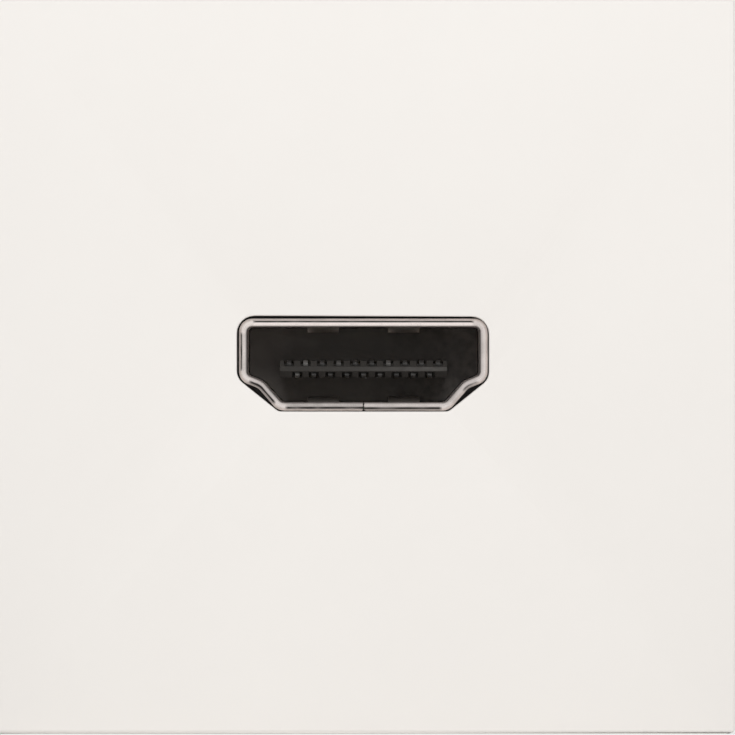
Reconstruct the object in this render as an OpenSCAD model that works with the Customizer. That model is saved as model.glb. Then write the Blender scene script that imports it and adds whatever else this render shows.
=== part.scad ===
// Video socket insert for a modular wiring frame.
// A square moulded plate snaps into the frame. Behind it a two-part housing holds a board with two
// nineteen-contact sockets back to back, one facing the room and one facing the wall.
// X runs to the right, Y into the wall and Z up. The origin is on the plate's front face, in line with
// the middle of both socket mouths. All sizes are in millimetres.

/* [Front plate] */
// Width of the plate
plate_w = 45; // [44:0.5:60]
// Height of the plate
plate_h = 45; // [44:0.5:60]
// Height of the plate's middle above the middle of the sockets
plate_up = 0.25; // [0:0.05:0.5]
// Thickness of the plate's face
face_t = 2; // [1.6:0.1:2.4]
// Depth from the plate's face to the rim that sits on the wiring frame
skirt_depth = 8; // [7:0.1:12]
// Wall thickness of the skirt
skirt_t = 1.6; // [1.2:0.1:2]
// Corner radius of the plate seen from the front
corner_r = 0.6; // [0.4:0.1:2]
// Radius of the plate's front edges
edge_r = 0.42; // [0.3:0.02:0.6]
// Angle in degrees through which a front edge is rounded before the side starts
edge_turn = 45; // [40:1:60]
// Corner radius of the hollow inside the skirt
hollow_r = 0.8; // [0.4:0.1:2]

/* [Snap latches] */
// Width of each latch arm
latch_w = 14; // [8:0.5:20]
// Thickness of each latch arm
latch_t = 1.4; // [1:0.1:1.8]
// Room between the skirt and the latch arm, in which the arm bends
latch_gap = 1.2; // [1:0.1:1.6]
// Thickness of the wiring frame that the hook grips, with its play
frame_grip = 2.2; // [2.1:0.1:3]
// Height of the hook above its arm
hook_h = 0.9; // [0.6:0.05:1]
// Length of the hook's lead-in slope
hook_l = 2.4; // [1.8:0.1:3]
// Width of the flat on the hook's crest
hook_flat = 0.5; // [0.3:0.05:0.8]
// How far the end of the lead-in slope lies below the outside of the arm
hook_lead = 0.3; // [0.1:0.05:0.5]
// Size of the gussets at the foot of a latch arm
gusset = 1.4; // [0.8:0.1:2]
// Distance of each gusset from the middle of the arm
gusset_x = 3.5; // [2:0.5:4]
// Thickness of a gusset
gusset_t = 1; // [0.8:0.1:1.4]

/* [Socket mouth] */
// Inside width of a socket's shell
mouth_w = 14; // [13.8:0.05:14.4]
// Inside height of a socket's shell
mouth_h = 4.55; // [4.45:0.05:4.8]
// Drop of the upright side walls below the middle of the mouth
side_drop = 0.62; // [0.5:0.01:0.8]
// Width of the sloping ledge at the foot of each side wall
ledge_w = 0.96; // [0.7:0.01:1.1]
// Slope of the ledge in degrees
ledge_slope = 22; // [18:1:28]
// Slope of the lower flanks in degrees
flank_slope = 49; // [45:1:55]
// Inside radius at the top corners
top_r = 0.3; // [0.2:0.05:0.4]
// Inside radius at the foot of the side walls
foot_r = 0.3; // [0.2:0.05:0.4]
// Radius of the hollow bend between ledge and flank
bend_r = 1.2; // [0.9:0.05:1.4]
// Inside radius at the bottom corners
low_r = 0.4; // [0.3:0.05:0.5]

/* [Shell] */
// Thickness of the shell's sheet
sheet_t = 0.3; // [0.25:0.01:0.35]
// Depth of the shell from the lip to its back edge
shell_l = 11; // [10.5:0.1:12]
// Reach of the flared lip beyond the inside of the wall
lip_reach = 0.5; // [0.46:0.01:0.56]
// Angle of the flared lip from the socket's axis
lip_angle = 52; // [48:1:60]
// Inner radius of the bend behind the lip
lip_r = 0.05; // [0.03:0.01:0.15]
// Rounding of the lip's edge at the front
lip_edge_r = 0.08; // [0.04:0.01:0.1]
// Width of the seam in the middle of the bottom wall
seam_w = 0.08; // [0.04:0.01:0.12]
// Room between the lip and the edge of the plate's cut-out
cut_gap = 0.095; // [0.08:0.005:0.2]
// Room between the lip's corners and the sloping edges of the cut-out
slope_gap = 0.075; // [0.01:0.005:0.1]
// How far the cut-out stands to the left of the sockets, within the play of the collar
cut_left = 0.036; // [0:0.004:0.05]
// How far the cut-out stands above the sockets, within the play of the collar
cut_up = 0.044; // [0:0.004:0.06]
// Height that the cut-out's top edge gains on the left and loses on the right
cut_lean = 0.03; // [0:0.005:0.04]
// Depth of the lip behind the plate's face
lip_recess = 0.15; // [0:0.05:0.4]
// Radius of the upper corners of the plate's cut-out
cut_top_r = 1.05; // [0.6:0.05:1.1]
// Radius at the ends of the cut-out's sides
cut_side_r = 0.9; // [0.6:0.05:1]
// Radius of the cut-out's lower corners
cut_low_r = 0.5; // [0.3:0.05:0.8]

/* [Spring fingers] */
// Width of a spring finger
finger_w = 1.9; // [1.5:0.05:2.2]
// Distance of each finger from the middle of the shell
finger_x = 2.45; // [2:0.05:2.8]
// Depth of a finger's root behind the lip
finger_y = 2.4; // [2:0.1:3]
// Length of a finger
finger_l = 4.9; // [4:0.1:5]
// Slot left round a finger
finger_slot = 0.25; // [0.2:0.05:0.35]
// How far a finger's crest stands into the mouth
finger_rise = 0.34; // [0.2:0.02:0.45]
// Straight stretch at a finger's root
finger_root = 0.9; // [0.6:0.1:1.2]
// Radius of the bend at a finger's root, at the middle of its sheet
finger_root_r = 1.2; // [0.8:0.1:1.4]
// Radius of a finger's crest, at the middle of its sheet
finger_crest_r = 0.6; // [0.4:0.05:0.7]
// Length of the turned-up tip
finger_tip = 0.9; // [0.6:0.1:1.2]

/* [Shell legs] */
// Width of a leg
leg_w = 1; // [0.8:0.05:1.2]
// Depth of the front pair of legs behind the lip
leg_front_y = 4.6; // [4.4:0.1:5]
// Depth of the back pair of legs behind the lip
leg_back_y = 9.4; // [8.5:0.1:9.8]
// How far a leg stands out below the board
leg_out = 0.6; // [0.4:0.05:0.8]
// Size of the sloping corners at a leg's end
leg_taper = 0.33; // [0.2:0.01:0.4]

/* [Insulator] */
// Width of the tongue
tongue_w = 10.1; // [9.8:0.1:10.4]
// Thickness of the tongue
tongue_t = 1; // [0.9:0.05:1.1]
// Drop of the tongue's middle below the middle of the mouth
tongue_drop = 0.27; // [0.2:0.01:0.3]
// Depth of the tongue's tip behind the lip
tip_y = 1.2; // [1:0.1:1.6]
// Depth of the insulator's floor behind the lip
floor_y = 8; // [7.8:0.1:8.6]
// Height of the sloping nose on each face of the tongue
nose_h = 0.38; // [0.3:0.02:0.4]
// Length of the sloping nose
nose_l = 0.45; // [0.35:0.05:0.6]
// Clearance of the insulator in the shell
body_fit = 0.05; // [0.02:0.01:0.08]
// Length of the insulator's block behind the shell
block_l = 1; // [0.8:0.05:1.3]
// Radius of the locating pegs under the block
peg_r = 0.4; // [0.3:0.05:0.45]
// Distance of the pegs from the middle
peg_x = 5.8; // [5.4:0.1:6]
// Length of the pegs below the block
peg_l = 1.3; // [1:0.1:1.5]

/* [Contacts] */
// Number of contacts in a socket
contact_count = 19; // [15:2:19]
// Distance from each contact to the next
contact_pitch = 0.5; // [0.48:0.01:0.52]
// Width of a contact
contact_w = 0.28; // [0.24:0.01:0.3]
// Thickness of a contact
contact_t = 0.2; // [0.15:0.01:0.22]
// How far a contact stands above the tongue
contact_proud = 0.03; // [0.01:0.01:0.05]
// Distance of a contact's end behind the tongue's tip
contact_back = 0.3; // [0.2:0.05:0.5]
// Drop of a contact's tip into its groove
contact_dip = 0.15; // [0.1:0.01:0.16]
// Length of the slope down to a contact's tip
contact_ramp = 0.5; // [0.4:0.05:0.8]
// Clearance round a contact in the insulator's body
contact_fit = 0.02; // [0.01:0.01:0.03]
// Width of a contact's open groove in the tongue
groove_w = 0.6; // [0.5:0.02:0.7]
// Radius of a contact's bends, at the middle of its sheet
contact_r = 0.3; // [0.2:0.05:0.35]
// Distance from the insulator's block to the upright stretch of a contact
drop_gap = 0.35; // [0.3:0.05:0.5]
// Length of the soldered foot
contact_foot = 1.1; // [0.9:0.1:1.2]

/* [Board] */
// Thickness of the board
board_t = 1.6; // [1.2:0.1:1.8]
// Board left beside the sockets on each side
board_side = 2.2; // [2:0.1:2.6]
// Clearance of the board in the housing
board_fit = 0.15; // [0.1:0.05:0.3]
// Corner radius of the board
board_r = 0.5; // [0.3:0.1:1]
// Clearance round the legs and pegs in the board
hole_fit = 0.1; // [0.05:0.01:0.15]

/* [Housing] */
// Distance between the lips of the two sockets
coupler_l = 30; // [29.6:0.1:34]
// Wall thickness of the housing
wall = 1.3; // [1.1:0.1:1.5]
// Distance from the housing's back wall to the rear lip
rear_stand = 1; // [0.9:0.1:1.6]
// Room under the board
under_board = 1; // [0.9:0.1:1.6]
// Room above the shells
above_shell = 0.3; // [0.2:0.1:1]
// Height of the parting line above the middle of the mouth
split_z = 0.2; // [0:0.1:0.6]
// Height of the lap along the parting line
lap_h = 0.8; // [0.5:0.1:1]
// Clearance in the lap
lap_fit = 0.08; // [0.05:0.01:0.12]
// Clearance round the shells where they leave the housing
exit_fit = 0.15; // [0.1:0.05:0.25]
// Rounding of the housing's long edges
case_r = 1.2; // [0.6:0.1:1.5]
// Rounding round the housing's back wall
case_back_r = 0.7; // [0.3:0.1:1]
// Size of the corner ledges that carry the board
ledge = 1.4; // [1:0.1:1.6]

/* [Ears and bosses] */
// Distance from the housing's side to the screw in its ear
ear_reach = 3.5; // [3.3:0.1:4]
// Radius of the ear's round end
ear_r = 2.8; // [2.6:0.1:3]
// Thickness of the ear
ear_t = 2; // [1.6:0.1:2.4]
// Height of the screw bosses behind the plate
boss_h = 4; // [3.6:0.1:4.6]
// Radius of the screw bosses
boss_r = 2.3; // [2:0.1:2.6]
// Thickness of the ribs and of the collar behind the plate
rib_t = 1.2; // [1:0.1:1.4]
// Height of the collar that centres the housing
collar_h = 2; // [1.5:0.1:2.4]
// Clearance between the collar and the housing
collar_fit = 0.15; // [0.1:0.05:0.25]
// Height of the ribs between the bosses and the skirt
rib_h = 3; // [2:0.1:3.4]

/* [Screws] */
// Radius of the shank of the screws
screw_r = 0.95; // [0.9:0.05:1]
// Radius of the screws' heads
head_r = 1.75; // [1.6:0.05:1.9]
// Height of the screws' heads
head_h = 1.1; // [0.9:0.05:1.2]
// Clearance round a shank where it passes through
pass_fit = 0.15; // [0.1:0.05:0.2]
// Clearance round a shank in its pilot hole
pilot_fit = 0.02; // [0.01:0.01:0.05]
// Grip of a screw in its boss
plate_screw_grip = 3; // [2.4:0.1:3.2]
// Depth of a pilot hole beyond the end of its screw
pilot_spare = 0.4; // [0.2:0.1:0.6]
// Distance of the housing's screws from its middle
case_screw_x = 7.4; // [7.2:0.1:7.6]
// Radius of the posts round the housing's screws
post_r = 1.9; // [1.8:0.05:2]
// Depth of the recess over a housing screw's head
head_sink = 1.25; // [1.2:0.05:1.4]
// Grip of a housing screw in the lid's post
case_screw_grip = 3.4; // [2.5:0.1:3.6]
// Width of the cross recess in a screw's head
cross_w = 0.4; // [0.3:0.05:0.5]
// Length of each stroke of the cross recess
cross_l = 1.9; // [1.6:0.1:2.2]
// Depth of the cross recess
cross_d = 0.6; // [0.4:0.05:0.7]

/* [Hidden] */
$fn = 48;
bend_steps = 6;
lip_steps = 4;
over = 0.5;

front_lip_y = lip_recess;
rear_lip_y = front_lip_y + coupler_l;
middle_y = front_lip_y + coupler_l / 2;

board_top = -mouth_h / 2 - sheet_t;
board_bottom = board_top - board_t;
board_w = mouth_w + 2 * sheet_t + 2 * board_side;

case_y0 = face_t;
case_y1 = rear_lip_y - rear_stand;
case_inner_w = board_w + 2 * board_fit;
case_w = case_inner_w + 2 * wall;
case_floor = board_bottom - under_board;
case_bottom = case_floor - wall;
case_ceiling = mouth_h / 2 + sheet_t + above_shell;
case_top = case_ceiling + wall;
case_mid = (case_top + case_bottom) / 2;
case_h = case_top - case_bottom;

board_y0 = case_y0 + wall + board_fit;
board_y1 = case_y1 - wall - board_fit;

ear_x = case_w / 2 + ear_reach;
ear_z = case_bottom + ear_r;
ear_y = face_t + boss_h;

seat_y = skirt_depth;
hook_y = seat_y + frame_grip;
arm_outer = plate_h / 2 - skirt_t - latch_gap;
arm_inner = arm_outer - latch_t;

tongue_z = -tongue_drop;
block_y = shell_l + block_l;
drop_y = block_y + drop_gap;
foot_end = drop_y + contact_foot;
row_z = tongue_t / 2 + contact_proud - contact_t / 2;
ramp_end = tip_y + contact_back + contact_ramp;

white = [0.94, 0.92, 0.89];
graphite = [0.13, 0.13, 0.14];
nickel = [0.78, 0.77, 0.74];
moulding_black = [0.09, 0.09, 0.09];
gilt = [0.86, 0.7, 0.36];
board_green = [0.05, 0.3, 0.17];
steel = [0.7, 0.7, 0.72];

// Two-digit form of a contact's number
function two_digits(k) = k < 10 ? str("0", k) : str(k);
function contact_name(side, k) = str(side, "_contact_", two_digits(k));

// Outlines with rounded corners

// Unit normal to the right of the way from a to b
function right_of(a, b) = [b[1] - a[1], a[0] - b[0]] / norm(b - a);

// Points of the rounded corner at b between a and c, carried to the right of the way by o.
// A left turn is a convex corner and grows with o, a right turn is hollow and shrinks.
function corner(a, b, c, r, o, steps) =
    let (
        n = right_of(a, b),
        m = right_of(b, c),
        turn = atan2(n[0] * m[1] - n[1] * m[0], n * m),
        mitre = (n + m) / (1 + n * m),
        q = turn > 0 ? r : -r,
        start = atan2(n[1], n[0])
    )
    r == 0 ? [b + o * mitre] :
    [for (k = [0 : steps]) let (g = start + turn * k / steps) b - q * mitre + (q + o) * [cos(g), sin(g)]];

// Closed outline of points with one radius each
function outline(points, radii, o = 0, steps = bend_steps) =
    let (n = len(points))
    [for (i = [0 : n - 1])
        each corner(points[(i + n - 1) % n], points[i], points[(i + 1) % n], radii[i], o, steps)];

// Open line of points with one radius for each bend between its ends
function line(points, radii, o, steps) =
    let (last = len(points) - 1)
    concat(
        [points[0] + o * right_of(points[0], points[1])],
        [for (i = [1 : last - 1])
            each corner(points[i - 1], points[i], points[i + 1], radii[i - 1], o, steps)],
        [points[last] + o * right_of(points[last - 1], points[last])]
    );

function reversed(list) = [for (i = [len(list) - 1 : -1 : 0]) list[i]];

// Section of a bent sheet of thickness t whose middle follows an open line
function bent_sheet(points, radii, t, steps) =
    concat(line(points, radii, t / 2, steps), reversed(line(points, radii, -t / 2, steps)));

// The socket's mouth, seen from the front

half_w = mouth_w / 2;
half_h = mouth_h / 2;
side_foot = [half_w, -side_drop];
ledge_end = [half_w - ledge_w, -side_drop - ledge_w * tan(ledge_slope)];
low_corner = [ledge_end[0] - (half_h + ledge_end[1]) / tan(flank_slope), -half_h];

function mirror_x(p) = [-p[0], p[1]];

right_half = [low_corner, ledge_end, side_foot, [half_w, half_h]];
right_radii = [low_r, bend_r, foot_r, top_r];
mouth_points = concat(right_half, [for (p = reversed(right_half)) mirror_x(p)]);
mouth_radii = concat(right_radii, reversed(right_radii));

// The shell's sheet starts and ends at the seam in the bottom wall
shell_points = concat([[seam_w / 2, -half_h]], mouth_points, [[-seam_w / 2, -half_h]]);

// The cut-out follows the lip with a gap, and its lower corners are cut straight across
cut_edge = lip_reach + cut_gap;
cut_top = half_h + cut_edge + cut_up;
cut_bottom = cut_up - half_h - cut_edge;
slope_n = right_of(low_corner, side_foot);

// Share of its radius by which a rounded corner of turn g falls short of its point, along slope_n.
// a is the part of slope_n along the wall before the corner, and b the part square to it.
function corner_short(g, a, b) = tan(g / 2) * a + b - 1;

low_short = low_r * corner_short(flank_slope, slope_n[0], -slope_n[1]);
foot_short = foot_r * corner_short(90 - ledge_slope, -slope_n[1], slope_n[0]);
cut_slope = lip_reach - min(low_short, foot_short) + slope_gap;

// Right half of a cut-out whose side wall stands at x and ends at the height top
function cut_half(x, top) = [
    [half_w + (cut_slope - (cut_bottom - side_foot[1]) * slope_n[1]) / slope_n[0], cut_bottom],
    [x, side_foot[1] + (cut_slope - (x - half_w) * slope_n[0]) / slope_n[1]],
    [x, top]
];

cut_right_half = cut_half(half_w + cut_edge - cut_left, cut_top - cut_lean);
cut_left_half = [for (p = reversed(cut_half(half_w + cut_edge + cut_left, cut_top + cut_lean))) mirror_x(p)];
cut_half_radii = [cut_low_r, cut_side_r, cut_top_r];
cut_radii = concat(cut_half_radii, reversed(cut_half_radii));

// Placing of flat outlines

// An outline in X and Z becomes a solid from y0 to y1
module along_y(y0, y1) translate([0, y1, 0]) rotate([90, 0, 0]) linear_extrude(y1 - y0) children();

// An outline in Y and Z becomes a solid of width w about the place x
module along_x(x, w) translate([x - w / 2, 0, 0]) rotate([90, 0, 90]) linear_extrude(w) children();

// An outline in X and Y becomes a solid from z0 to z1
module along_z(z0, z1) translate([0, 0, z0]) linear_extrude(z1 - z0) children();

// Rectangle with four rounded corners about the middle
module round_rect(w, h, r) {
    square([w - 2 * r, h], center = true);
    square([w, h - 2 * r], center = true);
    for (sx = [-1, 1], sy = [-1, 1]) translate([sx * (w / 2 - r), sy * (h / 2 - r)]) circle(r);
}

// Rectangle of depth d and width w whose two corners at the start are rounded through an angle
module round_start(d, w, r, turn = 90) {
    flat = w / 2 - r * sin(turn);
    side = r * (1 - cos(turn));
    intersection() {
        translate([0, -w / 2]) square([d, w]);
        union() {
            translate([side, -w / 2]) square([d - side, w]);
            translate([0, -flat]) square([d, 2 * flat]);
            for (s = [-1, 1]) translate([r, s * flat]) circle(r);
        }
    }
}

module both_sides() {
    children();
    mirror([1, 0, 0]) children();
}

// A piece of the front socket stays in place, and one of the rear socket is turned about
module at_socket(side) {
    if (side == "front") translate([0, front_lip_y, 0]) children();
    else translate([0, rear_lip_y, 0]) rotate([0, 0, 180]) children();
}

// Socket shell

// Section of the shell's wall: across is the distance from the inside, along is the depth
lip_l = (lip_reach - sheet_t / 2 * (1 + cos(lip_angle))) / sin(lip_angle);
lip_turn_y = lip_l * cos(lip_angle) + sheet_t / 2 * sin(lip_angle);
wall_line = [
    [sheet_t / 2, shell_l],
    [sheet_t / 2, lip_turn_y],
    [sheet_t / 2 + lip_l * sin(lip_angle), lip_turn_y - lip_l * cos(lip_angle)]
];
inner_line = line(wall_line, [0], sheet_t / 2, lip_steps);
outer_line = line(wall_line, [0], -sheet_t / 2, lip_steps);
wall_section = outline(
    concat(inner_line, reversed(outer_line)),
    [0, lip_r + sheet_t, lip_edge_r, 0, lip_r, 0], steps = lip_steps
);

// The wall's section is carried round the mouth from one side of the seam to the other
module shell_sheet() {
    rows = [for (s = wall_section)
        [for (p = line(shell_points, mouth_radii, s[0], bend_steps)) [p[0], s[1], p[1]]]];
    n = len(rows[0]);
    m = len(rows);
    sides = [for (j = [0 : m - 1], i = [0 : n - 2]) let (k = (j + 1) % m)
        each [[j * n + i, j * n + i + 1, k * n + i + 1], [j * n + i, k * n + i + 1, k * n + i]]];
    start = [for (j = [0 : m - 1]) j * n];
    end = [for (j = [m - 1 : -1 : 0]) j * n + n - 1];
    polyhedron([for (row = rows) each row], concat(sides, [start], [end]), convexity = 8);
}

finger_line = [
    [finger_y - over, half_h + sheet_t / 2],
    [finger_y + finger_root, half_h + sheet_t / 2],
    [finger_y + finger_l - finger_tip, half_h + sheet_t / 2 - finger_rise],
    [finger_y + finger_l, half_h + sheet_t / 2]
];

// Spring finger of the top wall
module finger() along_x(finger_x, finger_w)
    polygon(bent_sheet(finger_line, [finger_root_r, finger_crest_r], sheet_t, lip_steps));

module finger_window() translate([finger_x - finger_w / 2 - finger_slot, finger_y, half_h - over])
    cube([finger_w + 2 * finger_slot, finger_l + finger_slot, sheet_t + 2 * over]);

// Fingers and windows stand in both walls, mirrored from side to side
module in_both_walls() {
    both_sides() {
        children();
        mirror([0, 0, 1]) children();
    }
}

module leg(y) {
    tip = board_bottom - leg_out;
    h = leg_w / 2;
    along_x(half_w + sheet_t / 2, sheet_t) polygon([
        [y - h, over], [y - h, tip + leg_taper], [y - h + leg_taper, tip],
        [y + h - leg_taper, tip], [y + h, tip + leg_taper], [y + h, over]
    ]);
}

module shell() {
    difference() {
        shell_sheet();
        in_both_walls() finger_window();
    }
    in_both_walls() finger();
    both_sides() {
        leg(leg_front_y);
        leg(leg_back_y);
    }
}

module front_shell() color(nickel) at_socket("front") shell();

module rear_shell() color(nickel) at_socket("rear") shell();

// Insulator

function contact_x(k) = ((contact_count + 1) / 2 - k) * contact_pitch;
function contact_up(k) = k % 2 == 1 ? 1 : -1;

// Room for one contact: an open groove in the tongue, deeper at the tip, and a closed slot through the body
module contact_room(k) {
    up = contact_up(k);
    slot_w = contact_w + 2 * contact_fit;
    depth = contact_t - contact_proud;
    translate([contact_x(k), 0, tongue_z]) mirror([0, 0, up < 0 ? 1 : 0]) {
        translate([-groove_w / 2, 0, tongue_t / 2 - depth]) cube([groove_w, floor_y, depth + over]);
        translate([-groove_w / 2, 0, tongue_t / 2 - depth - contact_dip])
            cube([groove_w, ramp_end + contact_t / 2, depth + contact_dip + over]);
        translate([-slot_w / 2, floor_y - over, tongue_t / 2 - depth])
            cube([slot_w, block_l + shell_l, contact_t + contact_fit]);
    }
}

tongue_side = [
    [tip_y, nose_h - tongue_t / 2], [tip_y + nose_l, -tongue_t / 2], [floor_y + over, -tongue_t / 2],
    [floor_y + over, tongue_t / 2], [tip_y + nose_l, tongue_t / 2], [tip_y, tongue_t / 2 - nose_h]
];

module insulator() {
    difference() {
        union() {
            translate([0, 0, tongue_z]) along_x(0, tongue_w) polygon(tongue_side);
            along_y(floor_y, block_y) polygon(outline(mouth_points, mouth_radii, -body_fit));
            translate([body_fit - half_w, shell_l, board_top])
                cube([mouth_w - 2 * body_fit, block_l, half_h - board_top - body_fit]);
            both_sides() translate([peg_x, shell_l + block_l / 2, board_top - peg_l])
                cylinder(h = peg_l + over, r = peg_r);
        }
        for (k = [1 : contact_count]) contact_room(k);
    }
}

module front_insulator() color(moulding_black) at_socket("front") insulator();

module rear_insulator() color(moulding_black) at_socket("rear") insulator();

// Contact k: a sloping tip, a blade along the tongue, an upright stretch and a foot on the board
module contact(k) {
    z = tongue_z + contact_up(k) * row_z;
    tip_z = z - contact_up(k) * contact_dip;
    foot_z = board_top + contact_t / 2;
    path = [
        [tip_y + contact_back, tip_z], [ramp_end, z],
        [drop_y, z], [drop_y, foot_z], [foot_end, foot_z]
    ];
    radii = [contact_r, contact_r, contact_r];
    along_x(contact_x(k), contact_w) polygon(bent_sheet(path, radii, contact_t, bend_steps));
}

module front_contact(k) color(gilt) at_socket("front") contact(k);

module rear_contact(k) color(gilt) at_socket("rear") contact(k);

// Board

module slot_hole(y) {
    w = sheet_t + 2 * hole_fit;
    l = leg_w + 2 * hole_fit;
    translate([half_w + sheet_t / 2, y]) square([w, l], center = true);
}

module circuit_board() color(board_green) {
    along_z(board_bottom, board_top) difference() {
        translate([0, (board_y0 + board_y1) / 2]) round_rect(board_w, board_y1 - board_y0, board_r);
        for (side = ["front", "rear"]) at_socket(side) both_sides() {
            slot_hole(leg_front_y);
            slot_hole(leg_back_y);
            translate([peg_x, shell_l + block_l / 2]) circle(peg_r + hole_fit);
        }
        both_sides() translate([case_screw_x, middle_y]) circle(screw_r + pass_fit);
    }
}

// Housing

// Outside of the housing, rounded along its edges and round its back wall
module case_block() intersection() {
    along_y(case_y0, case_y1) translate([0, case_mid]) round_rect(case_w, case_h, case_r);
    translate([0, case_y1, case_mid]) rotate([0, 0, 180]) along_x(0, case_w)
        round_start(case_y1 - case_y0, case_h, case_back_r);
    translate([0, case_y1, case_bottom]) rotate([0, 0, -90]) along_z(0, case_h)
        round_start(case_y1 - case_y0, case_w, case_back_r);
}

// Upright prism over the housing's inside, grown by g on each side
module case_inside(z0, z1, g = 0) translate([-case_inner_w / 2 - g, case_y0 + wall - g, z0])
    cube([case_inner_w + 2 * g, case_y1 - case_y0 - 2 * wall + 2 * g, z1 - z0]);

// Passage of both shells through the end walls
module shell_exits() along_y(case_y0 - over, case_y1 + over)
    polygon(outline(mouth_points, mouth_radii, sheet_t + exit_fit));

module case_screws_at() both_sides() translate([case_screw_x, middle_y, 0]) children();

module ear() {
    intersection() {
        along_y(ear_y, ear_y + ear_t) {
            translate([ear_x, ear_z]) circle(ear_r);
            translate([case_w / 2 - wall / 2, ear_z - ear_r]) square([ear_reach + wall / 2, 2 * ear_r]);
        }
        translate([0, 0, case_bottom]) cube([plate_w, case_y1, case_h]);
    }
}

module housing_base() color(graphite) difference() {
    union() {
        difference() {
            case_block();
            case_inside(case_floor, case_top + over);
            translate([-case_w, 0, split_z]) cube([2 * case_w, case_y1 + over, case_h]);
            case_inside(split_z - lap_h, split_z + over, wall / 2);
            shell_exits();
        }
        case_screws_at() translate([0, 0, case_floor - over])
            cylinder(h = board_bottom - case_floor + over, r = post_r);
        both_sides() for (y = [case_y0 + wall, case_y1 - wall - ledge])
            translate([case_inner_w / 2 - ledge, y, case_floor - over])
                cube([ledge + wall / 2, ledge, board_bottom - case_floor + over]);
        both_sides() ear();
    }
    case_screws_at() translate([0, 0, case_bottom - over]) cylinder(h = case_h, r = screw_r + pass_fit);
    case_screws_at() translate([0, 0, case_bottom - over])
        cylinder(h = head_sink + over, r = head_r + pass_fit);
    both_sides() translate([ear_x, 0, ear_z]) along_y(ear_y - over, ear_y + ear_t + over)
        circle(screw_r + pass_fit);
}

case_screw_end = board_top + case_screw_grip;

module housing_lid() color(graphite) difference() {
    union() {
        difference() {
            case_block();
            case_inside(case_bottom - over, case_ceiling);
            translate([-case_w, 0, split_z - case_h]) cube([2 * case_w, case_y1 + over, case_h]);
        }
        difference() {
            case_inside(split_z - lap_h + lap_fit, split_z + over, wall / 2 - lap_fit);
            case_inside(case_bottom, case_top);
        }
        case_screws_at() translate([0, 0, board_top])
            cylinder(h = case_ceiling - board_top + over, r = post_r);
    }
    case_screws_at() translate([0, 0, board_top - over])
        cylinder(h = case_screw_grip + pilot_spare + over, r = screw_r + pilot_fit);
    shell_exits();
}

// Screws

// Radius of the dome over a head whose rim is half as high as its middle
dome_r = (head_r * head_r + head_h * head_h / 4) / head_h;

// Pan-head screw with its head's seat at the origin and its shank along -Z
module screw(length) difference() {
    union() {
        translate([0, 0, -length]) cylinder(h = length, r = screw_r);
        rotate_extrude() intersection() {
            square([head_r, head_h]);
            translate([0, head_h - dome_r]) circle(dome_r);
        }
    }
    for (a = [0, 90]) rotate([0, 0, a]) translate([-cross_l / 2, -cross_w / 2, head_h - cross_d])
        cube([cross_l, cross_w, cross_d + over]);
}

module plate_screws() color(steel) both_sides() translate([ear_x, ear_y + ear_t, ear_z])
    rotate([-90, 0, 0]) screw(ear_t + plate_screw_grip);

case_head_z = case_bottom + head_sink;

module housing_screws() color(steel) case_screws_at() translate([0, 0, case_head_z])
    rotate([180, 0, 0]) screw(case_screw_end - case_head_z);

// Front plate

module plate_body() intersection() {
    along_y(0, skirt_depth) round_rect(plate_w, plate_h, corner_r);
    along_x(0, plate_w) round_start(skirt_depth, plate_h, edge_r, edge_turn);
    translate([0, 0, -plate_h / 2]) rotate([0, 0, 90]) along_z(0, plate_h)
        round_start(skirt_depth, plate_w, edge_r, edge_turn);
}

latch_side = [
    [face_t - over, arm_inner], [hook_y + hook_flat + hook_l, arm_inner],
    [hook_y + hook_flat + hook_l, arm_outer - hook_lead], [hook_y + hook_flat, arm_outer + hook_h],
    [hook_y, arm_outer + hook_h], [hook_y, arm_outer], [face_t - over, arm_outer]
];

// Upper snap latch with its two gussets
module latch() {
    along_x(0, latch_w) polygon(latch_side);
    both_sides() along_x(gusset_x, gusset_t) polygon([
        [face_t - over, arm_inner + over], [face_t - over, arm_inner - gusset],
        [face_t, arm_inner - gusset], [face_t + gusset, arm_inner], [face_t + gusset, arm_inner + over]
    ]);
}

// Collar that centres the housing behind the plate
module collar() {
    inner_w = case_w + 2 * collar_fit;
    inner_h = case_h + 2 * collar_fit;
    along_y(face_t - over, face_t + collar_h) translate([0, case_mid]) difference() {
        square([inner_w + 2 * rib_t, inner_h + 2 * rib_t], center = true);
        square([inner_w, inner_h], center = true);
    }
}

module boss() {
    along_y(face_t - over, ear_y) translate([ear_x, ear_z]) circle(boss_r);
    rib_l = plate_w / 2 - skirt_t / 2 - ear_x;
    translate([ear_x, face_t - over, ear_z - rib_t / 2]) cube([rib_l, rib_h + over, rib_t]);
}

pilot_end = ear_y - plate_screw_grip - pilot_spare;

module front_plate() color(white) difference() {
    union() {
        translate([0, 0, plate_up]) {
            difference() {
                plate_body();
                along_y(face_t, skirt_depth + over)
                    round_rect(plate_w - 2 * skirt_t, plate_h - 2 * skirt_t, hollow_r);
            }
            latch();
            mirror([0, 0, 1]) latch();
        }
        collar();
        both_sides() boss();
    }
    along_y(-over, face_t + over) polygon(outline(concat(cut_right_half, cut_left_half), cut_radii));
    both_sides() along_y(pilot_end, ear_y + over) translate([ear_x, ear_z]) circle(screw_r + pilot_fit);
}

// Drawing

front_plate();
housing_base();
housing_lid();
circuit_board();
front_shell();
front_insulator();
rear_shell();
rear_insulator();
for (k = [1 : contact_count]) front_contact(k);
for (k = [1 : contact_count]) rear_contact(k);
plate_screws();
housing_screws();
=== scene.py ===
"""Looks of a video socket insert: a warm white snap-in plate, two folded nickel sockets and a dark housing.

Lengths are in metres in the part's own frame: X to the right, Y into the wall and Z up. The origin is on the
plate's front face, in line with the middle of both socket mouths.
"""
import math

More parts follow.
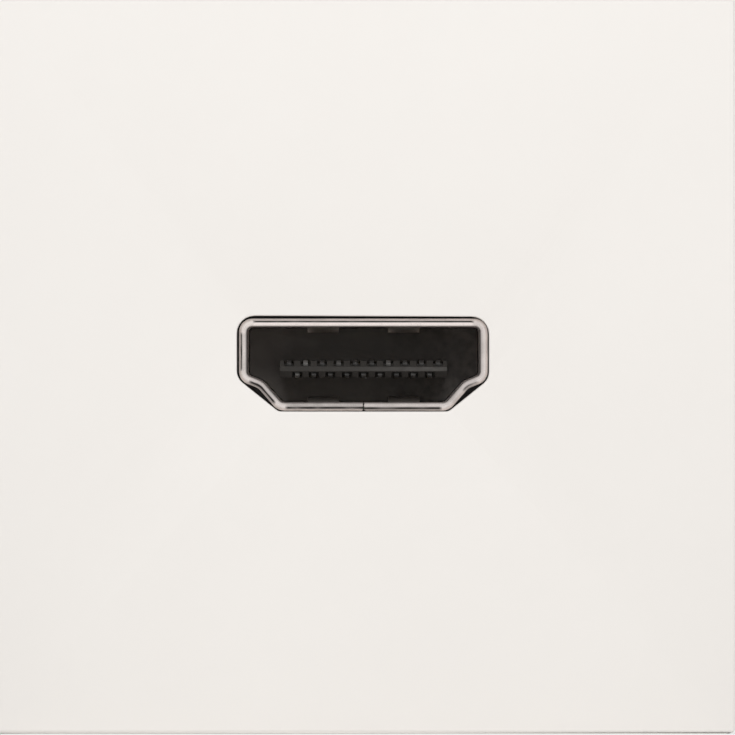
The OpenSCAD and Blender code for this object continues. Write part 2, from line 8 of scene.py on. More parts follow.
import bmesh
import bpy
import numpy as np
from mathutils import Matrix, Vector


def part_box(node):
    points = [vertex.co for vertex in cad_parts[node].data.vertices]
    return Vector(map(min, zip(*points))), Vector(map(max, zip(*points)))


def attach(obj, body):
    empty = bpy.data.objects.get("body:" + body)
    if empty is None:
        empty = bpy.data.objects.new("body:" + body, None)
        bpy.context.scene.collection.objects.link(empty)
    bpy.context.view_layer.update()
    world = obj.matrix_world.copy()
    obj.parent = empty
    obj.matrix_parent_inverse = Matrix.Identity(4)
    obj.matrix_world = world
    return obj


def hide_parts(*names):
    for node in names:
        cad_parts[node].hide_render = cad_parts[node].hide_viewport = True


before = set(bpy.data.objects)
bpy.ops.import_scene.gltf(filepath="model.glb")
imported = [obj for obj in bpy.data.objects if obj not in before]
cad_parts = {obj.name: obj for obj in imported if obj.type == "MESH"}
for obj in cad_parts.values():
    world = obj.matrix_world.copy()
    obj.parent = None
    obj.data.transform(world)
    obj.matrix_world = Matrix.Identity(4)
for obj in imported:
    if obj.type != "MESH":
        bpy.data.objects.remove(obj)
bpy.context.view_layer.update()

MM = 0.001

# Folded shell of a socket, with the same measures as its solid
MOUTH_W = 14.0 * MM
MOUTH_H = 4.55 * MM
SIDE_DROP = 0.62 * MM
LEDGE_W = 0.96 * MM
LEDGE_SLOPE = math.radians(22)
FLANK_SLOPE = math.radians(49)
TOP_R = 0.3 * MM
FOOT_R = 0.3 * MM
BEND_R = 1.2 * MM
LOW_R = 0.4 * MM
SHEET_T = 0.3 * MM
SHELL_L = 11.0 * MM
LIP_REACH = 0.5 * MM
LIP_ANGLE = math.radians(52)
LIP_FACE_R = 0.18 * MM
LIP_HOLLOW_R = 0.02 * MM
LIP_BACK_R = 0.02 * MM
LIP_SET_BACK = 0.02 * MM
SEAM_W = 0.030 * MM
SEAM_CORNER_R = 0.12 * MM
FINGER_W = 1.9 * MM
FINGER_X = 2.45 * MM
FINGER_Y = 2.4 * MM
FINGER_L = 4.9 * MM
FINGER_SLOT = 0.25 * MM
FINGER_RISE = 0.34 * MM
FINGER_ROOT = 0.9 * MM
FINGER_TIP = 0.9 * MM
LEG_W = 1.0 * MM
LEG_DEPTHS = (4.6 * MM, 9.4 * MM)
LEG_OUT = 0.6 * MM
LEG_TAPER = 0.33 * MM
LEG_TOP_Z = 0.5 * MM
FRONT_LIP_Y = 0.15 * MM
REAR_LIP_Y = 30.15 * MM

# The lip along each straight run and round each corner, from the seam to the right and round: radius of its
# front edge, then a painted dark reflection line's distance from the wall and half its width, in millimetres,
# how dark that line is, and how light the cut edge and the lip's face are, as painted light that differs from
# side to side
RUN_RIMS = np.array((
    (0.13, 0.350, 0.072, 1.35, 0.55, 0.33),
    (0.17, 0.340, 0.060, 0.10, 0.70, 0.22),
    (0.12, 0.340, 0.060, 0.60, 0.60, 0.30),
    (0.20, 0.340, 0.060, 0.00, 0.78, 0.34),
    (0.10, 0.315, 0.045, 1.80, 0.62, 1.00),
    (0.10, 0.353, 0.045, 1.55, 0.62, 0.50),
    (0.12, 0.325, 0.055, 1.70, 0.32, 0.40),
    (0.12, 0.325, 0.055, 1.90, 0.30, 0.30),
    (0.13, 0.328, 0.075, 1.30, 0.72, 0.13),
))
CORNER_RIMS = np.array((
    (0.18, 0.340, 0.060, 0.0, 0.70, 0.40),
    (0.12, 0.340, 0.060, 0.9, 0.45, 0.28),
    (0.18, 0.340, 0.060, 0.0, 0.75, 0.42),
    (0.18, 0.330, 0.050, 0.0, 0.65, 0.60),
    (0.18, 0.330, 0.050, 0.0, 0.62, 0.80),
    (0.18, 0.340, 0.060, 0.0, 0.70, 0.62),
    (0.12, 0.325, 0.060, 1.9, 0.25, 0.26),
    (0.18, 0.340, 0.060, 0.0, 0.60, 0.45),
))

# Distance over which a run's rim turns into its corner's, and the irregular wave that breaks the rim up: the
# length of its patches, its seed, and its share in the edge radius, in the painted dark reflection line and in
# the tone
RIM_FADE = 0.2 * MM
WAVE_PATCH = 0.45 * MM
WAVE_SEED = 19
EDGE_WAVE = 0.12
DARK_LINE_WAVE = 0.22
TONE_WAVE = 0.11

# Finish of the sheet: how light its wall is, and how far a dull film covers the wall and the cut edge
WALL_TONE = 1.0
WALL_FILM = 0.40
CUT_FILM = 0.50

# Painted shade on the bend of level and of upright walls, with the distance over which it fades, and a painted
# dark reflection on the cut edge at the right, between two shares of that edge's width
BEND_PAINTED_SHADE = (0.60, 1.00)
BEND_FADE = 0.085 * MM
CUT_PAINTED_SHADE = 1.0
CUT_PAINTED_SHADE_SPAN = (0.4, 0.8)

# Finish of the lower and of the upper fingers: their painted shade, their tone, darkened as painted shade, and
# their dull film
FINGER_PAINTED_SHADE = (0.42, 0.36)
FINGER_PAINTED_TONE = (0.2, 0.3)
FINGER_FILM = (0.38, 0.56)

# Painted glints on corners of the upper fingers: the side, how far along the finger, and how strongly, then the
# spot's half width and half length
PAINTED_GLINT_CORNERS = ((-1, 3.0 * MM, 1.00), (1, 2.7 * MM, 0.60))
PAINTED_GLINT_SIZE = (0.27 * MM, 0.80 * MM)

# Fineness of the modelled sheet
RUN_STEP = 0.25 * MM
LEAST_STEP = RUN_STEP / 6
FINGER_SIDE_STEP = 0.12 * MM
CORNER_STEPS = 14
BEND_STEPS = 8
FINGER_STEPS = 24
SEAM_CORNER_STEPS = 5
FACE_STEPS = 4
EDGE_STEPS = 12
BACK_EDGE_STEPS = 4

# Radius of the sheet's cut edges, and how upright a wall's normal has to be for the wall to count as level
SHEET_EDGE_R = 0.03 * MM
LEVEL_WALL = 0.999

# Bed of resin behind an insulator: its thickness, its rim round the contacts, and how far it reaches below
# the top of the lower row
SEAL_T = 0.15 * MM
SEAL_RIM = 0.12 * MM
SEAL_DROP = 0.35 * MM

# Pitch of the contacts, and length of the bare end of each
CONTACT_PITCH = 0.5 * MM
BARE_L = 0.85 * MM

# Radii of the moulded, cut and turned edges
PLATE_EDGE_R = 0.05 * MM
OPENING_EDGE_R = 0.09 * MM
HOUSING_EDGE_R = 0.08 * MM
BOARD_EDGE_R = 0.04 * MM
SCREW_EDGE_R = 0.05 * MM
TONGUE_EDGE_R = 0.02 * MM
CONTACT_EDGE_R = 0.02 * MM

board_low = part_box("circuit_board")[0]
plate_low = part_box("front_plate")[0]


# Meshes

# Points that lie nearer than this are one, and faces that turn by less than this are one
MERGE = 1e-7
FLAT = math.radians(0.3)


def mark_points(mesh, label, values):
    """Gives every point of a mesh a number under that label, for the finishes to read."""
    layer = mesh.attributes.new(label, "FLOAT", "POINT")
    layer.data.foreach_set("value", np.broadcast_to(np.asarray(values, np.float32), len(mesh.vertices)))


def add_piece(name, vertices, faces, finish, stands_for, marks):
    """A new piece of the object on the root body, from arrays of points and of faces, and marks on its points."""
    mesh = bpy.data.meshes.new(name)
    mesh.from_pydata(np.asarray(vertices, float).tolist(), [], [list(f) for f in faces])
    for label, values in marks.items():
        mark_points(mesh, label, values)
    mesh.validate()
    merge_points(mesh, 0)
    return finish_piece(name, mesh, finish, stands_for)


def merge_points(mesh, flat):
    """Joins the points that lie together, and the faces that turn by less than the flat angle."""
    skin = bmesh.new()
    skin.from_mesh(mesh)
    bmesh.ops.remove_doubles(skin, verts=skin.verts, dist=MERGE)
    if flat:
        bmesh.ops.dissolve_limit(skin, angle_limit=flat, verts=skin.verts, edges=skin.edges)
    skin.to_mesh(mesh)
    skin.free()


def finish_piece(name, mesh, finish, stands_for):
    """Links a mesh as a smooth-shaded piece with its finish, its place on the root body and what it stands for."""
    mesh.materials.clear()
    mesh.materials.append(finish)
    mesh.shade_smooth()
    piece = bpy.data.objects.new(name, mesh)
    bpy.context.scene.collection.objects.link(piece)
    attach(piece, "root")
    if stands_for:
        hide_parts(*stands_for)
    return piece


def round_edges(piece, radius, segments=3, least_angle=35):
    """Rounds every edge of a piece that turns by more than least_angle degrees."""
    bevel = piece.modifiers.new("rounded edges", "BEVEL")
    bevel.width = radius
    bevel.segments = segments
    bevel.limit_method = "ANGLE"
    bevel.angle_limit = math.radians(least_angle)
    bevel.use_clamp_overlap = False
    bevel.harden_normals = True
    return piece


def dressed_copy(node, name, finish, radius, segments=3):
    """A CAD node's skin, merged and cleared of its flat triangles, with rounded edges."""
    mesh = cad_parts[node].data.copy()
    merge_points(mesh, FLAT)
    piece = finish_piece(name, mesh, finish, (node,))
    return round_edges(piece, radius, segments)


def ease_front_opening(piece, half_w, half_h, radius, segments):
    """Rounds the front edge of a plate's opening by that radius, and leaves its other edges as they were.
    The opening's front edge lies on the front face within half_w and half_h of the origin."""
    slim = piece.modifiers[0]
    share = slim.width / radius
    skin = bmesh.new()
    skin.from_mesh(piece.data)
    weight = skin.edges.layers.float.new("bevel_weight_edge")
    for edge in skin.edges:
        if edge.calc_face_angle(0) > slim.angle_limit:
            ends = [v.co for v in edge.verts]
            front = all(abs(p.y) < MERGE and abs(p.x) < half_w and abs(p.z) < half_h for p in ends)
            edge[weight] = 1.0 if front else share
    skin.to_mesh(piece.data)
    skin.free()
    slim.limit_method = "WEIGHT"
    slim.width = radius
    slim.segments = segments


# The socket's folded sheet

def right_of(a, b):
    """Unit normal to the right of the way from a to b."""
    way = b - a
    return np.array([way[1], -way[0]]) / np.linalg.norm(way)


def corner(a, b, c, radius):
    """Stations of a rounded corner at b, as rows of x, z and the unit normal there.
    The normal n turns evenly from that of a-b to that of b-c, and the point is b - q * mitre + q * n, where q is
    the radius of a left turn and minus the radius of a right turn."""
    n, m = right_of(a, b), right_of(b, c)
    turn = math.atan2(n[0] * m[1] - n[1] * m[0], n @ m)
    mitre = (n + m) / (1 + n @ m)
    q = math.copysign(radius, turn)
    angle = math.atan2(n[1], n[0]) + turn * np.linspace(0, 1, CORNER_STEPS + 1)
    normal = np.stack([np.cos(angle), np.sin(angle)], axis=1)
    return np.hstack([b - q * mitre + q * normal, normal])


def run_stations(start, end, rims, marks):
    """Stations of a straight run between two others, evenly spaced and at the marks, which are distances from
    its start. The rim's values are the run's own, and blend into those of its ends over the fade."""
    way = end[:2] - start[:2]
    length = np.linalg.norm(way)
    marks = np.concatenate([marks, [RIM_FADE, length - RIM_FADE]])
    marks = marks[(marks > 0) & (marks < length)]
    even = np.linspace(0, length, math.ceil(length / RUN_STEP) + 1)[1:-1]
    even = even[np.abs(even[:, None] - marks).min(axis=1) > LEAST_STEP]
    along = np.sort(np.concatenate([even, marks]))[:, None]
    before, own, after = rims
    rim = own + np.clip(1 - along / RIM_FADE, 0, 1) * (before - own)
    rim += np.clip(1 - (length - along) / RIM_FADE, 0, 1) * (after - own)
    return np.hstack([start[:2] + along / length * way, np.tile(start[2:4], (len(along), 1)), rim])


def mouth_stations():
    """Stations round the inside of the mouth, from one side of the seam in the bottom wall to the other: x, z,
    the unit normal, and the rim's six values there. The top and bottom walls also get a station at each side
    of a finger and of its slot, and the seam's sides get some round the lip's corner."""
    half_w, half_h = MOUTH_W / 2, MOUTH_H / 2
    foot = np.array([half_w, -SIDE_DROP])
    ledge = foot - np.array([LEDGE_W, LEDGE_W * math.tan(LEDGE_SLOPE)])
    low = np.array([ledge[0] - (half_h + ledge[1]) / math.tan(FLANK_SLOPE), -half_h])
    right = [low, ledge, foot, np.array([half_w, half_h])]
    radii = [LOW_R, BEND_R, FOOT_R, TOP_R]
    points = right + [p * (-1, 1) for p in reversed(right)]
    seam = np.array([SEAM_W / 2, -half_h])
    route = [seam] + points + [seam * (-1, 1)]
    corners = [corner(route[i], route[i + 1], route[i + 2], r) for i, r in enumerate(radii + radii[::-1])]
    corners = [np.hstack([c, np.tile(rim, (len(c), 1))]) for c, rim in zip(corners, CORNER_RIMS)]
    first = np.array([[*seam, 0, -1, *RUN_RIMS[0]]])
    last = np.array([[*(seam * (-1, 1)), 0, -1, *RUN_RIMS[-1]]])
    knots = [first, *corners, last]

    edges = FINGER_W / 2 + np.array([-2 * FINGER_SIDE_STEP, -FINGER_SIDE_STEP, 0, FINGER_SLOT])
    sides = np.concatenate([FINGER_X - edges, FINGER_X + edges])
    sides = np.concatenate([sides, -sides])
    notch = SEAM_CORNER_R * (1 - np.cos(np.linspace(0, math.pi / 2, SEAM_CORNER_STEPS + 1)[1:]))

    rows = [first]
    for own, before, after in zip(RUN_RIMS, knots, knots[1:]):
        start, end = before[-1], after[0]
        level = abs(start[3]) > LEVEL_WALL
        marks = (sides - start[0]) * np.sign(end[0] - start[0]) if level else np.zeros(0)
        if before is first:
            marks = np.concatenate([marks, notch])
        if after is last:
            marks = np.concatenate([marks, np.linalg.norm(end[:2] - start[:2]) - notch])
        rows.append(run_stations(start, end, (start[4:], own, end[4:]), marks))
        rows.append(after)
    return np.concatenate(rows)


def ragged(around):
    """Irregular wave between -1 and 1 along the stations: straight lines between seeded random heights."""
    step = np.linalg.norm(np.diff(around[:, :2], axis=0), axis=1)
    way = np.concatenate([[0], np.cumsum(step)])
    knots = np.arange(0, way[-1] + WAVE_PATCH, WAVE_PATCH)
    heights = np.random.default_rng(WAVE_SEED).uniform(-1, 1, len(knots))
    return np.interp(way, knots, heights)[:, None]


def lip_length(reach):
    """Length of the lip along its face, to the corner with its cut edge, for a reach beyond the wall's inside:
    (reach - t * cos a + (sin a + cos a - 1) * r) / sin a, where r is the radius of its back edge."""
    s, c = math.sin(LIP_ANGLE), math.cos(LIP_ANGLE)
    return (reach - SHEET_T * c + (s + c - 1) * LIP_BACK_R) / s


def wall_sections(around):
    """Sections of the sheet at every station: two grids of points, as distance from the inside of the wall and
    depth behind the lip, one for the side that faces the mouth and one for the other, and the marks of the
    first.
    Each side is straight, bends outwards on an arc of its own radius and goes on along the lip. The first side
    ends round the lip's two edges, on arcs joined by the sheet's cut edge."""
    wave = ragged(around)
    edge_r = around[:, 4, None] * MM * (1 + EDGE_WAVE * wave)
    half = LIP_ANGLE / 2
    way = np.array([math.sin(LIP_ANGLE), -math.cos(LIP_ANGLE)])
    through = np.array([math.cos(LIP_ANGLE), math.sin(LIP_ANGLE)])
    root = lip_length(LIP_REACH) * math.cos(LIP_ANGLE) + LIP_SET_BACK
    finger_end = FINGER_Y + FINGER_L
    slots = np.linspace(finger_end, FINGER_Y, FINGER_STEPS + 1)
    depth = np.concatenate([[SHELL_L, finger_end + FINGER_SLOT], slots])
    angle = np.linspace(0, LIP_ANGLE, BEND_STEPS + 1)

    def side(across, start, radius):
        """Points of one side of the sheet as far as the end of its bend."""
        straight = np.stack([np.full_like(depth, across), depth], axis=1)
        bend_y = start + radius * (math.tan(half) - np.sin(angle))
        return np.concatenate([straight, np.stack([across + radius * (1 - np.cos(angle)), bend_y], axis=1)])

    inner = side(0.0, root, LIP_FACE_R)
    outer = side(SHEET_T, root + SHEET_T * math.tan(half), LIP_HOLLOW_R)

    short = SEAM_CORNER_R - np.clip(np.abs(around[:, 0]) - SEAM_W / 2, 0, SEAM_CORNER_R)
    short = np.where(around[:, 3] < -LEVEL_WALL, SEAM_CORNER_R - np.sqrt(SEAM_CORNER_R ** 2 - short ** 2), 0)
    near = np.array([0, root]) + lip_length(LIP_REACH - short)[:, None] * way
    near, far = near[:, None, :], (near + SHEET_T * through)[:, None, :]
    g = np.linspace(0, math.pi / 2, EDGE_STEPS + 1)[None, :, None]
    front = near + edge_r[:, :, None] * (through * (1 - np.cos(g)) + way * (np.sin(g) - 1))
    g = g[:, ::EDGE_STEPS // BACK_EDGE_STEPS]
    back = far + LIP_BACK_R * (way * (np.cos(g) - 1) + through * (np.sin(g) - 1))

    count = len(around)
    inner = np.tile(inner, (count, 1, 1))
    between = np.linspace(0, 1, FACE_STEPS + 1)[None, 1:-1, None]
    face = inner[:, -1:] + between * (front[:, :1] - inner[:, -1:])
    cut = front[:, -1:] + between * (back[:, :1] - front[:, -1:])
    inner = np.concatenate([inner, face, front, cut, back], axis=1)
    share = np.linspace(0, 1, inner.shape[1] - len(outer) + 1)[None, 1:, None]
    outer = np.tile(outer, (count, 1, 1))
    outer = np.concatenate([outer, outer[:, -1:] + share * (far - LIP_BACK_R * way - outer[:, -1:])], axis=1)

    part = [len(depth), len(angle), face.shape[1], front.shape[1], cut.shape[1] + back.shape[1]]
    across = inner[:, :, 0]
    along_cut = (across - front[:, -1:, 0]) / (far[:, :, 0] - front[:, -1:, 0])
    return inner, outer, wall_marks(around, wave, part, across, along_cut)


def wall_marks(around, wave, part, across, along_cut):
    """Marks of the sheet's points on the mouth's side: how light, with painted light on the lip, how rough from
    the cut, how dark with painted shade and a painted dark reflection line, and how filmed over the metal is. They
    come from the stations, the irregular wave, the number of points of the wall, the bend, the lip's face, its
    front edge and its cut edge, the distance from the wall, and the way along the cut edge.
    The tone blends evenly along the bend and along the front edge. The painted dark reflection line is a bell
    curve of the distance from the wall. Painted shade darkens the bend, and on the right a painted dark reflection
    darkens the cut edge, more and more to its end."""
    line, width, painted_line_dark, painted_cut_tone, painted_face_tone = (around[:, k, None] for k in range(5, 10))
    onto_lip = np.repeat([0.0, 0.0, 1.0, 1.0, 1.0], part)
    onto_lip[part[0]:part[0] + part[1]] = np.linspace(0, 1, part[1])
    onto_cut = np.repeat([0.0, 0.0, 0.0, 0.0, 1.0], part)
    onto_cut[-part[4] - part[3]:-part[4]] = np.linspace(0, 1, part[3])
    painted_lip_tone = painted_face_tone + onto_cut * (painted_cut_tone - painted_face_tone)

    # Painted dark reflection line along the lip, a set distance in from the wall
    painted_line_dark = painted_line_dark * (1 - DARK_LINE_WAVE + DARK_LINE_WAVE * wave)
    dark = painted_line_dark * np.exp(-((across / MM - line) / width) ** 2)
    sideways = around[:, 2, None]
    # Painted shade on the bend, darker on upright walls than on level ones
    painted_shade = BEND_PAINTED_SHADE[0] + (BEND_PAINTED_SHADE[1] - BEND_PAINTED_SHADE[0]) * sideways ** 2
    dark += np.repeat([0.0, 1.0, 1.0, 1.0, 1.0], part) * painted_shade * np.exp(-(across / BEND_FADE) ** 2)
    # Painted dark reflection on the cut edge at the right, darker towards its end
    shade_start, shade_full = CUT_PAINTED_SHADE_SPAN
    along_cut = np.clip((along_cut - shade_start) / (shade_full - shade_start), 0, 1)
    dark += CUT_PAINTED_SHADE * np.clip(sideways, 0, 1) * along_cut
    # The lip's face and cut edge get their tone as painted light, lighter or darker from side to side
    return {
        "sheet tone and painted light": WALL_TONE + onto_lip * (painted_lip_tone - WALL_TONE) + TONE_WAVE * wave,
        "cut metal": onto_cut + 0 * wave,
        "painted shade metal": np.clip(dark, 0, 1),
        "dull film": WALL_FILM * (1 - onto_lip) + CUT_FILM * onto_cut + 0 * wave,
    }


def finger_dip(depth):
    """How far a finger stands in at each depth: nought along its root, then a half cosine wave down to the
    crest, and a quarter cosine wave back to the wall's level at its tip."""
    crest = FINGER_Y + FINGER_L - FINGER_TIP
    down = np.clip((depth - FINGER_Y - FINGER_ROOT) / (crest - FINGER_Y - FINGER_ROOT), 0, 1)
    back = np.clip((depth - crest) / FINGER_TIP, 0, 1)
    return FINGER_RISE * (0.5 - 0.5 * np.cos(math.pi * down)) * np.cos(math.pi / 2 * back)


def pierced_sheet(inner, outer, kept):
    """Points and faces of a sheet between two grids of points, with a cell wherever kept is true.
    Each edge between a kept cell and a missing one, or the grid's border, gets a wall across the thickness."""
    rows, columns = inner.shape[:2]
    number = np.arange(rows * columns).reshape(rows, columns)
    shift = rows * columns
    corners = np.stack([number[:-1, :-1], number[1:, :-1], number[1:, 1:], number[:-1, 1:]], axis=-1)
    skin = corners[kept]
    faces = [skin, skin[:, ::-1] + shift]
    room = np.pad(kept, 1)
    for axis, start, end in ((0, number[:, :-1], number[:, 1:]), (1, number[:-1, :], number[1:, :])):
        core = room[:, 1:-1] if axis == 0 else room[1:-1, :]
        before = core[:-1] if axis == 0 else core[:, :-1]
        after = core[1:] if axis == 0 else core[:, 1:]
        for here, there, flip in ((before, after, axis == 0), (after, before, axis == 1)):
            edge = here & ~there
            a, b = start[edge], end[edge]
            wall = np.stack([a, b, b + shift, a + shift], axis=-1)
            faces.append(wall[:, ::-1] if flip else wall)
    return np.concatenate([inner.reshape(-1, 3), outer.reshape(-1, 3)]), np.concatenate(faces)


def leg_block(side, depth, foot_z):
    """A tapering leg below the side wall: its six-cornered outline in Y and Z, carried across the sheet."""
    half = LEG_W / 2
    flat = half - LEG_TAPER
    y = depth + np.array([-half, -flat, flat, half, half, -half])
    z = np.array([foot_z + LEG_TAPER, foot_z, foot_z, foot_z + LEG_TAPER, LEG_TOP_Z, LEG_TOP_Z])
    x = side * np.array([MOUTH_W / 2, MOUTH_W / 2 + SHEET_T])
    points = np.stack([np.repeat(x, 6), np.tile(y, 2), np.tile(z, 2)], axis=1)
    sides = [[i, (i + 1) % 6, (i + 1) % 6 + 6, i + 6] for i in range(6)]
    caps = [[5, 4, 3, 2, 1, 0], [6, 7, 8, 9, 10, 11]]
    turned = [f[::-1] for f in sides + caps] if side < 0 else sides + caps
    return points, turned


def mark_fingers(marks, x, nz, in_finger, from_root):
    """Gives the fingers' points their own marks: painted shade, and painted glints on the upper fingers' corners.
    A painted glint is a bell curve of the distance from the finger's side, times one of the distance from its
    place along the finger."""
    on_finger = in_finger & (from_root > 0) & (from_root < FINGER_L)
    # Painted glints on the upper fingers' corners: they lighten the tone and lift the painted shade there
    rubbed = np.zeros_like(from_root)
    for side, along, strength in PAINTED_GLINT_CORNERS:
        off = (np.abs(np.abs(x) - FINGER_X) - FINGER_W / 2) / PAINTED_GLINT_SIZE[0]
        spot = np.exp(-off ** 2 - ((from_root - along) / PAINTED_GLINT_SIZE[1]) ** 2)
        rubbed += np.where((nz > 0) & ((x - np.sign(x) * FINGER_X) * side > 0), strength * spot, 0)
    # Painted shade darkens the fingers, deep in the mouth
    painted_shade, tone, film = (np.where(nz > 0, upper, lower) for lower, upper in (
        FINGER_PAINTED_SHADE, FINGER_PAINTED_TONE, FINGER_FILM))
    marks["dull film"] = np.where(on_finger, film + (1 - film) * rubbed, marks["dull film"])
    marks["painted shade metal"] = np.where(on_finger, painted_shade * (1 - rubbed), marks["painted shade metal"])
    marks["sheet tone and painted light"] = np.where(on_finger, tone + (1 - tone) * rubbed, marks["sheet tone and painted light"])


def kept_cells(around, depth):
    """Which cells of the sheet are kept: all but the slots beside the fingers and the gaps beyond their tips."""
    middle_x = (around[:-1, 0] + around[1:, 0]) / 2
    middle_y = (depth[:-1] + depth[1:]) / 2
    level = (np.abs(around[:-1, 3]) > LEVEL_WALL) & (np.abs(around[1:, 3]) > LEVEL_WALL)
    off = np.abs(np.abs(middle_x) - FINGER_X)
    in_window = level & (off < FINGER_W / 2 + FINGER_SLOT)
    in_slot = in_window & (off > FINGER_W / 2)
    window_depth = (middle_y > FINGER_Y) & (middle_y < FINGER_Y + FINGER_L + FINGER_SLOT)
    beyond_tip = (middle_y > FINGER_Y + FINGER_L) & window_depth
    missing = in_slot[:, None] & window_depth[None, :]
    missing |= in_window[:, None] & beyond_tip[None, :]
    return ~missing


def shell_mesh():
    """Points and faces of a socket's shell about its own mouth, and the marks of its points: the pierced sheet
    with its four fingers, and four legs."""
    around = mouth_stations()
    inner, outer, marks = wall_sections(around)
    x, z, nx, nz = (around[:, k, None] for k in range(4))
    in_finger = (np.abs(np.abs(x) - FINGER_X) < FINGER_W / 2 + MERGE) & (np.abs(nz) > LEVEL_WALL)
    mark_fingers(marks, x, nz, in_finger, inner[:, :, 1] - FINGER_Y)

    def layer(section):
        """The grid of points of one side of the sheet, carried round the mouth."""
        across, depth = section[:, :, 0], section[:, :, 1]
        out = across - np.where(in_finger, finger_dip(depth), 0)
        return np.stack([x + nx * out, depth, z + nz * out], axis=-1)

    points, faces = pierced_sheet(layer(inner), layer(outer), kept_cells(around, inner[0, :, 1]))
    faces = faces.tolist()
    for side in (-1, 1):
        for leg_depth in LEG_DEPTHS:
            leg_points, leg_faces = leg_block(side, leg_depth, board_low.z - LEG_OUT)
            faces += [[k + len(points) for k in f] for f in leg_faces]
            points = np.concatenate([points, leg_points])
    plain = {"sheet tone and painted light": WALL_TONE, "cut metal": 0.0, "painted shade metal": 0.0, "dull film": 0.0}
    rest = len(points) - around.shape[0] * inner.shape[1]
    marks = {label: np.concatenate([grid.ravel(), np.full(rest, plain[label])]) for label, grid in marks.items()}
    return points, faces, marks


def add_shell(name, node, lip_y, turned, finish):
    """Places a shell with its lip at that depth, turned about the upright axis where it faces the wall."""
    points, faces, marks = shell_mesh()
    facing = np.array([-1, -1, 1]) if turned else np.array([1, 1, 1])
    points = points * facing + (0, lip_y, 0)
    piece = add_piece(name, points, faces, finish, (node,), marks)
    return round_edges(piece, SHEET_EDGE_R, least_angle=50)


def add_seal(name, y, way):
    """A thin bed of resin that closes the slots round the contacts behind an insulator's block. It starts at the
    depth y and lies on the side of it that way points to, 1 for deeper and -1 for less deep."""
    first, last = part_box("front_contact_01"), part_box("front_contact_19")
    half = (first[1].x - last[0].x) / 2 + SEAL_RIM
    top, low = first[1].z + SEAL_RIM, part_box("front_contact_02")[1].z - SEAL_DROP
    x, z = np.array([-half, half, half, -half]), np.array([low, low, top, top])
    corners = np.stack([np.tile(x, 2), np.repeat([y, y + way * SEAL_T], 4), np.tile(z, 2)], axis=1)
    sides = [(k, (k + 1) % 4, (k + 1) % 4 + 4, k + 4) for k in range(4)]
    faces = [(3, 2, 1, 0), (4, 5, 6, 7), *sides]
    if way < 0:
        faces = [f[::-1] for f in faces]
    return round_edges(add_piece(name, corners, faces, BLACK, (), {}), SEAL_T / 3)


# Surface effects that several finishes share

def effect_group(name, inputs, outputs):
    """An empty node group with the named inputs and outputs, all of them numbers."""
    group = bpy.data.node_groups.new(name, "ShaderNodeTree")
    for label, value in inputs:
        socket = group.interface.new_socket(label, in_out="INPUT", socket_type="NodeSocketFloat")
        socket.default_value = value
    for label in outputs:
        group.interface.new_socket(label, in_out="OUTPUT", socket_type="NodeSocketFloat")
    return group, group.nodes.new("NodeGroupInput"), group.nodes.new("NodeGroupOutput")


def add_node(tree, kind, links=None, **settings):
    """A node of that kind with its settings, and its inputs set to numbers or joined to other sockets."""
    node = tree.nodes.new(kind)
    for key, value in settings.items():
        setattr(node, key, value)
    for key, value in (links or {}).items():
        if isinstance(value, bpy.types.NodeSocket):
            tree.links.new(value, node.inputs[key])
        else:
            node.inputs[key].default_value = value
    return node


def moulding_skin():
    """Skin of an injection moulding: the tool's fine eroded grain, and a slow mottle from the melt's flow."""
    group, into, out = effect_group(
        "Moulding skin", [("Grain Scale", 6000.0), ("Mottle Scale", 60.0)], ["Grain", "Mottle"])
    place = add_node(group, "ShaderNodeTexCoord").outputs["Object"]
    grain = add_node(group, "ShaderNodeTexNoise", {
        "Vector": place, "Scale": into.outputs["Grain Scale"], "Detail": 4.0, "Roughness": 0.6})
    mottle = add_node(group, "ShaderNodeTexNoise", {
        "Vector": place, "Scale": into.outputs["Mottle Scale"], "Detail": 3.0, "Roughness": 0.55})
    group.links.new(grain.outputs["Fac"], out.inputs["Grain"])
    group.links.new(mottle.outputs["Fac"], out.inputs["Mottle"])
    return group


def rolled_metal():
    """Rolled and stamped metal: fine draw lines along Y, and soft blotches in the plating."""
    group, into, out = effect_group(
        "Rolled metal", [("Line Scale", 9000.0), ("Stretch", 0.04), ("Blotch Scale", 700.0)], ["Lines", "Blotch"])
    place = add_node(group, "ShaderNodeTexCoord").outputs["Object"]
    parts = add_node(group, "ShaderNodeSeparateXYZ", {"Vector": place})
    along = add_node(group, "ShaderNodeMath", {0: parts.outputs["Y"], 1: into.outputs["Stretch"]},
                     operation="MULTIPLY")
    drawn = add_node(group, "ShaderNodeCombineXYZ", {
        "X": parts.outputs["X"], "Y": along.outputs["Value"], "Z": parts.outputs["Z"]})
    lines = add_node(group, "ShaderNodeTexNoise", {
        "Vector": drawn.outputs["Vector"], "Scale": into.outputs["Line Scale"], "Detail": 5.0})
    blotch = add_node(group, "ShaderNodeTexNoise", {
        "Vector": place, "Scale": into.outputs["Blotch Scale"], "Detail": 2.0})
    group.links.new(lines.outputs["Fac"], out.inputs["Lines"])
    group.links.new(blotch.outputs["Fac"], out.inputs["Blotch"])
    return group


# Pointiness from which an edge counts as convex
CONVEX = 0.52


